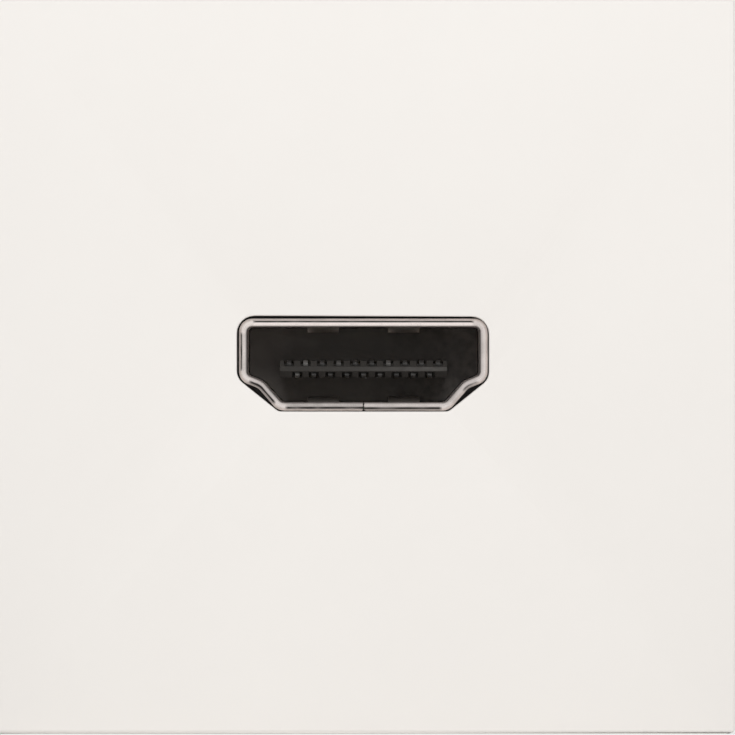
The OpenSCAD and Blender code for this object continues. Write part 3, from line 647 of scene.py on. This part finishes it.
def rubbed_edges():
    """Mask of the edges that handling polishes: where the surface is sharply convex, broken up by noise."""
    group, into, out = effect_group("Rubbed edges", [("Width", 0.06), ("Breakup Scale", 900.0)], ["Mask"])
    bend = add_node(group, "ShaderNodeNewGeometry").outputs["Pointiness"]
    place = add_node(group, "ShaderNodeTexCoord").outputs["Object"]
    noise = add_node(group, "ShaderNodeTexNoise", {
        "Vector": place, "Scale": into.outputs["Breakup Scale"], "Detail": 3.0})
    top = add_node(group, "ShaderNodeMath", {0: CONVEX, 1: into.outputs["Width"]}, operation="ADD")
    convex = add_node(group, "ShaderNodeMapRange", {
        "Value": bend, "From Min": CONVEX, "From Max": top.outputs["Value"]})
    mask = add_node(group, "ShaderNodeMath", {0: convex.outputs["Result"], 1: noise.outputs["Fac"]},
                    operation="MULTIPLY", use_clamp=True)
    group.links.new(mask.outputs["Value"], out.inputs["Mask"])
    return group


SKIN = moulding_skin()
METAL = rolled_metal()
RUBBED = rubbed_edges()


# Finishes

def new_finish(name, **constants):
    """A material with a Principled shader, and the constants set on the shader's own sockets."""
    material = bpy.data.materials.new(name)
    material.use_nodes = True
    tree = material.node_tree
    shader = next(n for n in tree.nodes if n.type == "BSDF_PRINCIPLED")
    for key, value in constants.items():
        shader.inputs[key.replace("_", " ")].default_value = value
    return material, tree, shader


def use_effect(tree, group, **values):
    """Places a shared effect in a material with its own values."""
    node = tree.nodes.new("ShaderNodeGroup")
    node.node_tree = group
    for key, value in values.items():
        node.inputs[key.replace("_", " ")].default_value = value
    return node


def compute(tree, operation, first, second=0.0, limited=False):
    """Result of a sum on one or two numbers or sockets, kept from nought to one if it's limited."""
    node = add_node(tree, "ShaderNodeMath", {0: first, 1: second}, operation=operation, use_clamp=limited)
    return node.outputs["Value"]


def blend_colours(tree, mask, dark, light):
    """Colour between dark and light, each a colour or a socket, as the mask goes from nought to one."""
    mix = tree.nodes.new("ShaderNodeMix")
    mix.data_type = "RGBA"
    for key, value in (("A", dark), ("B", light)):
        if isinstance(value, bpy.types.NodeSocket):
            tree.links.new(value, mix.inputs[key])
        else:
            mix.inputs[key].default_value = (*value, 1)
    tree.links.new(mask, mix.inputs["Factor"])
    return mix.outputs["Result"]


def spread(tree, value, low, high, start=0.3, end=0.7):
    """A number from low to high as value goes from start to end."""
    node = add_node(tree, "ShaderNodeMapRange", {
        "Value": value, "From Min": start, "From Max": end, "To Min": low, "To Max": high})
    return node.outputs["Result"]


def raise_surface(tree, shader, height, strength, distance):
    """Small relief of the surface from a height."""
    bump = add_node(tree, "ShaderNodeBump", {"Height": height, "Strength": strength, "Distance": distance})
    tree.links.new(bump.outputs["Normal"], shader.inputs["Normal"])


def facing_along_y(tree, least):
    """Mask of the surfaces that face along Y, either way, by more than that part of the normal."""
    normal = add_node(tree, "ShaderNodeNewGeometry").outputs["Normal"]
    parts = add_node(tree, "ShaderNodeSeparateXYZ", {"Vector": normal})
    return compute(tree, "GREATER_THAN", compute(tree, "ABSOLUTE", parts.outputs["Y"]), least)


# Painted light on the floor of a mouth, a lighter colour where the depth is in shade: its colour, its share of
# the surface from patch to patch, and how much more lies near the walls, at the bottom, and from the left to the
# right. The spans are the places between which each changes: from the middle to a side wall, from the middle to
# the top or bottom wall, upwards from the bottom, and from left to right. The last is how far from the middle of
# the insert, towards a lip, all of it ends
PAINTED_FILL = (0.30, 0.281, 0.264)
PAINTED_FILL_SHARE = (0.29, 0.39)
PAINTED_FILL_BY_WALLS = 0.15
PAINTED_FILL_AT_BOTTOM = 0.17
PAINTED_FILL_SIDEWAYS = (-0.10, 0.07)
SIDE_WALL_SPAN = (5.4 * MM, 6.9 * MM)
LEVEL_WALL_SPAN = (1.0 * MM, 2.2 * MM)
BOTTOM_SPAN = (-1.6 * MM, 0.3 * MM)
SIDEWAYS_SPAN = (-6.5 * MM, 6.5 * MM)
DEPTH_SPAN = (7.3 * MM, 8.6 * MM)


def deep_painted_fill(tree, colour):
    """Colour of a tongue's moulding with painted light on the floor of the mouth, stronger by the walls and to the
    right.
    """
    place = add_node(tree, "ShaderNodeTexCoord").outputs["Object"]
    parts = add_node(tree, "ShaderNodeSeparateXYZ", {"Vector": place})
    middle = (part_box("front_insulator")[0].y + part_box("rear_insulator")[1].y) / 2
    depth = compute(tree, "ABSOLUTE", compute(tree, "SUBTRACT", parts.outputs["Y"], middle))
    deep = spread(tree, depth, 1.0, 0.0, *DEPTH_SPAN)
    beside = spread(tree, compute(tree, "ABSOLUTE", parts.outputs["X"]), 0.0, 1.0, *SIDE_WALL_SPAN)
    above = spread(tree, compute(tree, "ABSOLUTE", parts.outputs["Z"]), 0.0, 1.0, *LEVEL_WALL_SPAN)
    patch = add_node(tree, "ShaderNodeTexNoise", {"Vector": place, "Scale": 900.0, "Detail": 3.0})
    low = spread(tree, parts.outputs["Z"], PAINTED_FILL_AT_BOTTOM, 0.0, *BOTTOM_SPAN)
    low = compute(tree, "ADD", low, spread(tree, parts.outputs["X"], *PAINTED_FILL_SIDEWAYS, *SIDEWAYS_SPAN))
    share = compute(tree, "ADD", low, spread(tree, patch.outputs["Fac"], *PAINTED_FILL_SHARE))
    edge = compute(tree, "MULTIPLY", compute(tree, "MAXIMUM", beside, above), PAINTED_FILL_BY_WALLS)
    share = compute(tree, "ADD", edge, share)
    return blend_colours(tree, compute(tree, "MULTIPLY", share, deep, limited=True), colour, PAINTED_FILL)


# Places along a tongue between which the painted light on its blunt end grows
END_LIGHT_GROWS = (-3.0 * MM, 4.6 * MM)


def painted_end_light(tree, colour, painted_end_colour):
    """Colour of a tongue whose blunt end is painted lighter, as painted light in patches, more and more towards
    the right-hand end.
    """
    place = add_node(tree, "ShaderNodeTexCoord").outputs["Object"]
    across = add_node(tree, "ShaderNodeSeparateXYZ", {"Vector": place}).outputs["X"]
    patch = add_node(tree, "ShaderNodeTexNoise", {"Vector": place, "Scale": 1800.0, "Detail": 3.0})
    share = spread(tree, across, 0.0, 1.0, *END_LIGHT_GROWS)
    share = compute(tree, "MULTIPLY", share, spread(tree, patch.outputs["Fac"], 0.45, 1.0, 0.35, 0.65))
    return blend_colours(tree, compute(tree, "MULTIPLY", share, facing_along_y(tree, 0.9)), colour, painted_end_colour)


def plastic(name, dark, light, roughness, grain_scale, relief, wear, painted_end_colour=None, **constants):
    """Moulded plastic: a slow mottle between two close colours, eroded grain as relief, and polished edges.
    Where a painted end-light colour is given, it's a socket's tongue, with painted light on its blunt end and on
    the floor of the mouth."""
    material, tree, shader = new_finish(name, **constants)
    skin = use_effect(tree, SKIN, Grain_Scale=grain_scale, Mottle_Scale=55.0)
    worn = use_effect(tree, RUBBED, Width=0.08, Breakup_Scale=1200.0)
    mottle = spread(tree, skin.outputs["Mottle"], 0.0, 1.0)
    colour = blend_colours(tree, mottle, dark, light)
    if painted_end_colour:
        # Painted light on the mouth's floor and on the tongue's right-hand end
        colour = painted_end_light(tree, deep_painted_fill(tree, colour), painted_end_colour)
    tree.links.new(colour, shader.inputs["Base Color"])
    dull = spread(tree, skin.outputs["Mottle"], roughness[0], roughness[1])
    rubbed = compute(tree, "MULTIPLY", worn.outputs["Mask"], wear)
    tree.links.new(compute(tree, "SUBTRACT", dull, rubbed), shader.inputs["Roughness"])
    raise_surface(tree, shader, skin.outputs["Grain"], relief, 0.02 * MM)
    return material


def metal(name, dark, light, roughness, line_scale, relief):
    """Plated metal: draw lines in colour, gloss and relief, and blotches in the plating."""
    material, tree, shader = new_finish(name, Metallic=1.0)
    marks = use_effect(tree, METAL, Line_Scale=line_scale)
    worn = use_effect(tree, RUBBED, Width=0.1, Breakup_Scale=2500.0)
    both = compute(tree, "MULTIPLY", marks.outputs["Lines"], marks.outputs["Blotch"])
    tone = spread(tree, both, 0.0, 1.0, 0.12, 0.4)
    bright = compute(tree, "ADD", tone, worn.outputs["Mask"], limited=True)
    tree.links.new(blend_colours(tree, bright, dark, light), shader.inputs["Base Color"])
    tree.links.new(spread(tree, marks.outputs["Lines"], roughness[1], roughness[0]), shader.inputs["Roughness"])
    raise_surface(tree, shader, marks.outputs["Lines"], relief, 0.01 * MM)
    return material


def point_mark(tree, label):
    """The number from nought to one that a piece's points carry under that label."""
    mark = add_node(tree, "ShaderNodeAttribute", attribute_name=label).outputs["Fac"]
    return compute(tree, "MULTIPLY", mark, 1.0, limited=True)


# Nickel at its dullest and at its lightest, and the near black of its painted shade and painted dark reflections
NICKEL_TONES = ((0.40, 0.366, 0.349), (0.98, 0.896, 0.856))
PAINTED_SHADE_COLOUR = (0.030, 0.027, 0.025)


def shell_finish():
    """Bright nickel on a socket's folded sheet. Its points say how light it is, with painted light on the lip and
    painted glints and painted shade on the fingers, where the press cut it, which is rough, where painted shade
    and a painted dark reflection darken it, and how far a dull film covers it."""
    material, tree, shader = new_finish("bright nickel sheet")
    marks = use_effect(tree, METAL, Line_Scale=16000.0, Blotch_Scale=1500.0)
    both = compute(tree, "MULTIPLY", marks.outputs["Lines"], marks.outputs["Blotch"])
    streaks = spread(tree, both, -0.10, 0.10, 0.12, 0.4)
    tone = compute(tree, "ADD", point_mark(tree, "sheet tone and painted light"), streaks, limited=True)
    colour = blend_colours(tree, tone, *NICKEL_TONES)
    # Painted shade and painted dark reflections blend the nickel towards near black
    dark, cut = point_mark(tree, "painted shade metal"), point_mark(tree, "cut metal")
    tree.links.new(blend_colours(tree, dark, colour, PAINTED_SHADE_COLOUR), shader.inputs["Base Color"])
    film = point_mark(tree, "dull film")
    tree.links.new(compute(tree, "SUBTRACT", 1.0, film), shader.inputs["Metallic"])
    dull = spread(tree, marks.outputs["Lines"], 0.20, 0.10)
    dull = compute(tree, "ADD", dull, compute(tree, "MULTIPLY", film, 0.6))
    rough = compute(tree, "MULTIPLY", compute(tree, "ADD", dark, cut, limited=True), 0.40)
    tree.links.new(compute(tree, "ADD", dull, rough, limited=True), shader.inputs["Roughness"])
    raise_surface(tree, shader, marks.outputs["Lines"], 0.10, 0.01 * MM)
    return material


# Gold flash, the bare cut ends, near black as partly painted shade, and the painted glints on a few ends, with the
# contacts that have them
FLASH_TONES = ((0.58, 0.44, 0.22), (0.80, 0.63, 0.34))
BARE_TONES = ((0.032, 0.0307, 0.0295), (0.048, 0.046, 0.044))
PAINTED_GLINT_TIP = (0.125, 0.120, 0.114)
PAINTED_GLINT_TIPS = {"front_contact_17": 1.0, "front_contact_13": 0.45, "front_contact_07": 0.6, "front_contact_18": 0.6}


def contact_finish():
    """Gold flash over nickel on a contact's faces, each strip a little different, and matte bare metal on the
    dipped ends by the mouth, where it was cut off, near black as painted shade. A few ends carry a painted glint,
    as their points say."""
    material, tree, shader = new_finish("flashed contact strip")
    marks = use_effect(tree, METAL, Line_Scale=22000.0)
    place = add_node(tree, "ShaderNodeTexCoord").outputs["Object"]
    parts = add_node(tree, "ShaderNodeSeparateXYZ", {"Vector": place})
    strip = compute(tree, "ROUND", compute(tree, "MULTIPLY", parts.outputs["X"], 1 / CONTACT_PITCH))
    own = add_node(tree, "ShaderNodeTexWhiteNoise", {"W": strip}, noise_dimensions="1D").outputs["Value"]
    tone = spread(tree, marks.outputs["Lines"], 0.0, 0.6)
    tone = compute(tree, "ADD", tone, compute(tree, "MULTIPLY", own, 0.4))
    flash = blend_colours(tree, tone, *FLASH_TONES)
    # The bare ends' near-black tone is partly painted shade, and a few ends get a painted glint
    bare = blend_colours(tree, own, *BARE_TONES)
    bare = blend_colours(tree, point_mark(tree, "painted glint tip"), bare, PAINTED_GLINT_TIP)
    front_end = compute(tree, "LESS_THAN", parts.outputs["Y"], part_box("front_contact_01")[0].y + BARE_L)
    rear_end = compute(tree, "GREATER_THAN", parts.outputs["Y"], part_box("rear_contact_01")[1].y - BARE_L)
    cut = compute(tree, "ADD", front_end, rear_end, limited=True)
    tree.links.new(blend_colours(tree, cut, flash, bare), shader.inputs["Base Color"])
    tree.links.new(compute(tree, "SUBTRACT", 1.0, cut), shader.inputs["Metallic"])
    dull = compute(tree, "ADD", spread(tree, marks.outputs["Lines"], 0.32, 0.20),
                   compute(tree, "MULTIPLY", cut, 0.25))
    tree.links.new(dull, shader.inputs["Roughness"])
    raise_surface(tree, shader, marks.outputs["Lines"], 0.10, 0.01 * MM)
    return material


# Solder mask over bare laminate and over copper, and how far the tracks reach to each side
MASK_TONES = ((0.012, 0.10, 0.045), (0.035, 0.23, 0.10))
TRACKS_HALF_W = 4.75 * MM


def board_finish():
    """Green solder mask over straight copper tracks that join the two rows of contacts."""
    material, tree, shader = new_finish("solder-masked board", IOR=1.5)
    skin = use_effect(tree, SKIN, Grain_Scale=12000.0, Mottle_Scale=300.0)
    place = add_node(tree, "ShaderNodeTexCoord").outputs["Object"]
    parts = add_node(tree, "ShaderNodeSeparateXYZ", {"Vector": place})
    wave = compute(tree, "COSINE", compute(tree, "MULTIPLY", parts.outputs["X"], 2 * math.pi / CONTACT_PITCH))
    inside = compute(tree, "LESS_THAN", compute(tree, "ABSOLUTE", parts.outputs["X"]), TRACKS_HALF_W)
    copper = compute(tree, "MULTIPLY", spread(tree, wave, 0.0, 1.0, 0.1, 0.3), inside)
    tree.links.new(blend_colours(tree, copper, *MASK_TONES), shader.inputs["Base Color"])
    tree.links.new(spread(tree, skin.outputs["Mottle"], 0.22, 0.34), shader.inputs["Roughness"])
    raise_surface(tree, shader, copper, 0.5, 0.03 * MM)
    return material


WARM_WHITE = plastic(
    "warm white moulding", dark=(0.872, 0.846, 0.814), light=(0.886, 0.861, 0.829),
    roughness=(0.30, 0.36), grain_scale=9000.0, relief=0.10, wear=0.05)
GRAPHITE = plastic(
    "graphite moulding", dark=(0.022, 0.022, 0.024), light=(0.034, 0.034, 0.037),
    roughness=(0.50, 0.62), grain_scale=5200.0, relief=0.55, wear=0.18)
# Its lighter end colour is painted light on the tongue's blunt end
BLACK = plastic(
    "black insulator moulding", dark=(0.034, 0.0315, 0.0290), light=(0.046, 0.0425, 0.0390),
    roughness=(0.42, 0.54), grain_scale=14000.0, relief=0.25, wear=0.10, painted_end_colour=(0.076, 0.072, 0.068),
    Specular_IOR_Level=0.10)
ZINC = metal(
    "zinc-plated steel", dark=(0.46, 0.47, 0.49), light=(0.68, 0.69, 0.71),
    roughness=(0.24, 0.38), line_scale=12000.0, relief=0.15)
NICKEL = shell_finish()
GILT = contact_finish()
BOARD = board_finish()


# Pieces

plate = dressed_copy("front_plate", "plate_moulding", WARM_WHITE, PLATE_EDGE_R)
ease_front_opening(plate, MOUTH_W, MOUTH_H, OPENING_EDGE_R, segments=5)
dressed_copy("housing_base", "base_moulding", GRAPHITE, HOUSING_EDGE_R)
dressed_copy("housing_lid", "lid_moulding", GRAPHITE, HOUSING_EDGE_R)
dressed_copy("circuit_board", "board_panel", BOARD, BOARD_EDGE_R, segments=2)
dressed_copy("plate_screws", "plate_screw_pair", ZINC, SCREW_EDGE_R)
dressed_copy("housing_screws", "housing_screw_pair", ZINC, SCREW_EDGE_R)
dressed_copy("front_insulator", "front_tongue_moulding", BLACK, TONGUE_EDGE_R, segments=2)
dressed_copy("rear_insulator", "rear_tongue_moulding", BLACK, TONGUE_EDGE_R, segments=2)
add_seal("front_contact_seal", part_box("front_insulator")[1].y, way=1)
add_seal("rear_contact_seal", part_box("rear_insulator")[0].y, way=-1)
add_shell("front_shell_sheet", "front_shell", FRONT_LIP_Y, turned=False, finish=NICKEL)
add_shell("rear_shell_sheet", "rear_shell", REAR_LIP_Y, turned=True, finish=NICKEL)
for name in sorted(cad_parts):
    if "_contact_" in name:
        strip = dressed_copy(name, name + "_strip", GILT, CONTACT_EDGE_R, segments=2)
        # Painted glints on a few contact ends
        mark_points(strip.data, "painted glint tip", PAINTED_GLINT_TIPS.get(name, 0.0))


# Light: how bright the surround is by degrees from the way to the camera, from its left to its right and from
# its foot to its top, how strongly all of it shines, and a near panel's place, size and power
SURROUND = ((0.0, 0.95), (35.0, 0.95), (60.0, 0.75), (90.0, 0.45), (180.0, 0.40))
SURROUND_ACROSS = (0.86, 1.14)
SURROUND_UP = (0.94, 1.06)
SURROUND_LIGHT = 0.815
PANEL_PLACE = (0.003, -0.20, 0.10)
PANEL_SIZE = 0.08
PANEL_POWER = 0.212

# The floor: half its size, its two tones, and how pale it looks, from its own shading to plain white
FLOOR_HALF = 3.0
FLOOR_TONES = ((0.68, 0.655, 0.63), (0.71, 0.685, 0.66))
FLOOR_PALENESS = 0.72

# Camera at the photograph's place, square to the plate
PHOTO = 735
PIXELS_PER_MM = 16.6
SOCKET_MIDDLE_PX = (363.5, 364.6)
CAMERA_DISTANCE = 0.6


def add_camera():
    """A long lens straight in front, aside by as much as the socket is off the photograph's middle."""
    width = PHOTO / PIXELS_PER_MM * MM
    data = bpy.data.cameras.new("camera")
    data.sensor_width = 36.0
    data.lens = data.sensor_width * CAMERA_DISTANCE / width
    data.clip_start = 0.01
    data.clip_end = 10.0
    camera = bpy.data.objects.new("camera", data)
    aside = (PHOTO / 2 - SOCKET_MIDDLE_PX[0]) / PIXELS_PER_MM * MM
    below = (PHOTO / 2 - SOCKET_MIDDLE_PX[1]) / PIXELS_PER_MM * MM
    camera.location = (aside, -CAMERA_DISTANCE, -below)
    camera.rotation_euler = (math.pi / 2, 0, 0)
    bpy.context.scene.collection.objects.link(camera)
    bpy.context.scene.camera = camera


def seen_plainly(tree):
    """One for the rays by which the camera sees a thing, straight or mirrored or through glass."""
    path = add_node(tree, "ShaderNodeLightPath")
    seen = compute(tree, "MAXIMUM", path.outputs["Is Camera Ray"], path.outputs["Is Glossy Ray"])
    return compute(tree, "MAXIMUM", seen, path.outputs["Is Transmission Ray"])


def add_floor():
    """A plain pale floor that the plate's lower edge meets. The camera, and what the object mirrors or lets
    through, see it mixed with plain white, under the object's shadow."""
    half, z = FLOOR_HALF, plate_low.z
    mesh = bpy.data.meshes.new("floor")
    mesh.from_pydata([(-half, -half, z), (half, -half, z), (half, half, z), (-half, half, z)], [], [(0, 1, 2, 3)])
    material, tree, shader = new_finish("pale floor", Roughness=0.7)
    cloud = add_node(tree, "ShaderNodeTexNoise", {
        "Vector": add_node(tree, "ShaderNodeTexCoord").outputs["Object"], "Scale": 30.0, "Detail": 2.0})
    tree.links.new(blend_colours(tree, cloud.outputs["Fac"], *FLOOR_TONES), shader.inputs["Base Color"])
    white = add_node(tree, "ShaderNodeEmission", {"Color": (1, 1, 1, 1), "Strength": 1.0})
    mix = add_node(tree, "ShaderNodeMixShader", {0: compute(tree, "MULTIPLY", seen_plainly(tree), FLOOR_PALENESS)})
    tree.links.new(shader.outputs["BSDF"], mix.inputs[1])
    tree.links.new(white.outputs["Emission"], mix.inputs[2])
    out = next(n for n in tree.nodes if n.type == "OUTPUT_MATERIAL")
    tree.links.new(mix.outputs["Shader"], out.inputs["Surface"])
    mesh.materials.append(material)
    floor = bpy.data.objects.new("floor", mesh)
    bpy.context.scene.collection.objects.link(floor)


def add_world():
    """Soft studio surround, brightest round the camera and quieter behind the object. The camera, and what the
    object mirrors or lets through, see plain white."""
    world = bpy.data.worlds.new("studio")
    world.use_nodes = True
    bpy.context.scene.world = world
    tree = world.node_tree
    tree.nodes.clear()
    way = add_node(tree, "ShaderNodeTexCoord").outputs["Generated"]
    parts = add_node(tree, "ShaderNodeSeparateXYZ", {"Vector": way})
    apart = compute(tree, "ARCCOSINE", compute(tree, "MULTIPLY", parts.outputs["Y"], -1.0))
    ramp = add_node(tree, "ShaderNodeValToRGB", {"Fac": compute(tree, "DIVIDE", apart, math.pi)})
    elements = ramp.color_ramp.elements
    while len(elements) < len(SURROUND):
        elements.new(0.5)
    for element, (degrees, value) in zip(elements, SURROUND):
        element.position = degrees / 180
        element.color = (value, value, value, 1)
    side = spread(tree, parts.outputs["X"], *SURROUND_ACROSS, -1.0, 1.0)
    height = spread(tree, parts.outputs["Z"], *SURROUND_UP, -1.0, 1.0)
    strength = compute(tree, "MULTIPLY", compute(tree, "MULTIPLY", side, height), SURROUND_LIGHT)
    light = add_node(tree, "ShaderNodeBackground", {"Color": ramp.outputs["Color"], "Strength": strength})
    seen = add_node(tree, "ShaderNodeBackground", {"Color": (1, 1, 1, 1), "Strength": 1.0})
    mix = add_node(tree, "ShaderNodeMixShader", {0: seen_plainly(tree)})
    tree.links.new(light.outputs["Background"], mix.inputs[1])
    tree.links.new(seen.outputs["Background"], mix.inputs[2])
    out = add_node(tree, "ShaderNodeOutputWorld")
    tree.links.new(mix.outputs["Shader"], out.inputs["Surface"])


def add_panel():
    """A soft square panel above and in front of the plate, which lights its upper part a little more."""
    data = bpy.data.lights.new("soft panel", "AREA")
    data.shape = "SQUARE"
    data.size = PANEL_SIZE
    data.energy = PANEL_POWER
    panel = bpy.data.objects.new("soft panel", data)
    place = Vector(PANEL_PLACE)
    panel.location = place
    panel.rotation_euler = (-place).to_track_quat("-Z", "Y").to_euler()
    panel.visible_glossy = False
    bpy.context.scene.collection.objects.link(panel)


add_camera()
add_floor()
add_world()
add_panel()
bpy.context.scene.view_settings.view_transform = "Standard"
